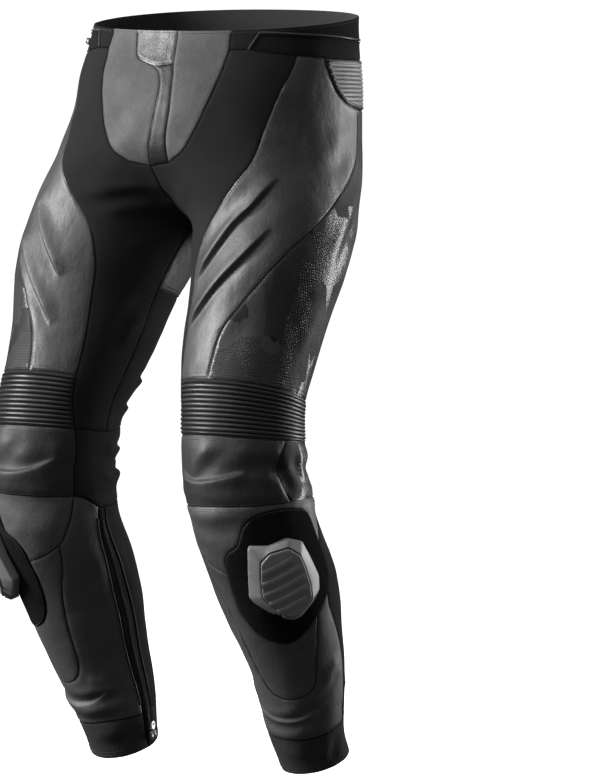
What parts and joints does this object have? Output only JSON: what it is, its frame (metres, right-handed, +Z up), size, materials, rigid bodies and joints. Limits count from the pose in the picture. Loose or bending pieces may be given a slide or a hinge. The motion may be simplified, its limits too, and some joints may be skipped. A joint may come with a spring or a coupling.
{
  "type": "motorcycle trousers",
  "caption": "Leather and stretch motorcycle trousers filled out with no wearer, open at waist and cuffs, with ribbed knee and hip panels, calf zips and hard knee sliders.",
  "frame": {"origin": "centre of the waist opening, where the wearer's waist holds the trousers up", "axes": "+Z up, front faces -Y, the wearer's left is +X"},
  "size_m": [0.4832, 0.3623, 0.9206],
  "materials": {
    "grey_leather": "satin",
    "leather": "satin",
    "hip_leather": "satin",
    "ribbed_leather": "satin",
    "perforated_leather": "gloss",
    "stretch": "matte",
    "knit": "matte",
    "elastic": "matte",
    "zip_tape": "matte",
    "hook_and_loop": "matte",
    "slider_plastic": "gloss",
    "face_plastic": "satin",
    "zip_metal": "satin"
  },
  "bodies": {
    "trousers": {"yoke_L": "grey_leather", "yoke_R": "grey_leather", "waist_tab": "grey_leather", "fly_placket": "leather", "thigh_L": "leather", "thigh_R": "leather", "seat_L": "leather", "seat_R": "leather", "knee_L": "leather", "knee_R": "leather", "knee_cup_L": "leather", "knee_cup_R": "leather", "shin_front_L": "leather", "shin_front_R": "leather", "shin_L": "leather", "shin_R": "leather", "hip_ribs_L": "hip_leather", "hip_ribs_R": "hip_leather", "knee_ribs_L": "ribbed_leather", "knee_ribs_R": "ribbed_leather", "outer_thigh_L": "perforated_leather", "outer_thigh_R": "perforated_leather", "knee_outer_L": "perforated_leather", "knee_outer_R": "perforated_leather", "stretch_front_L": "stretch", "stretch_front_R": "stretch", "thigh_back_L": "stretch", "thigh_back_R": "stretch", "knee_back_L": "stretch", "knee_back_R": "stretch", "calf_L": "stretch", "calf_R": "stretch", "waistband_knit": "knit", "cuff_L": "elastic", "cuff_R": "elastic", "connector_band": "zip_tape", "calf_zip_L": "zip_tape", "calf_zip_R": "zip_tape", "slider_pad_L": "hook_and_loop", "slider_pad_R": "hook_and_loop", "knee_slider_L": "slider_plastic", "knee_slider_R": "slider_plastic", "slider_face_L": "face_plastic", "slider_face_R": "face_plastic", "connector_slider": "zip_metal", "calf_slider_L": "zip_metal", "calf_slider_R": "zip_metal"},
    "calf_pull_L": {"calf_pull_L": "zip_metal"},
    "calf_pull_R": {"calf_pull_R": "zip_metal"},
    "connector_pull": {"connector_pull": "zip_metal"}
  },
  "joints": [
    {"name": "calf_pull_L_hinge", "type": "hinge", "parent": "trousers", "child": "calf_pull_L", "pos_m": [0.09423, -0.02365, -0.87817], "axis": [0.0477, -0.9329, -0.357], "range_deg": [0, 150]},
    {"name": "calf_pull_R_hinge", "type": "hinge", "parent": "trousers", "child": "calf_pull_R", "pos_m": [-0.09423, -0.02365, -0.87817], "axis": [0.0477, 0.9329, 0.357], "range_deg": [0, 150]},
    {"name": "connector_pull_hinge", "type": "hinge", "parent": "trousers", "child": "connector_pull", "pos_m": [-0.15889, -0.07191, -0.02592], "axis": [0.1915, 0.1936, 0.9622], "range_deg": [0, 150]}
  ]
}
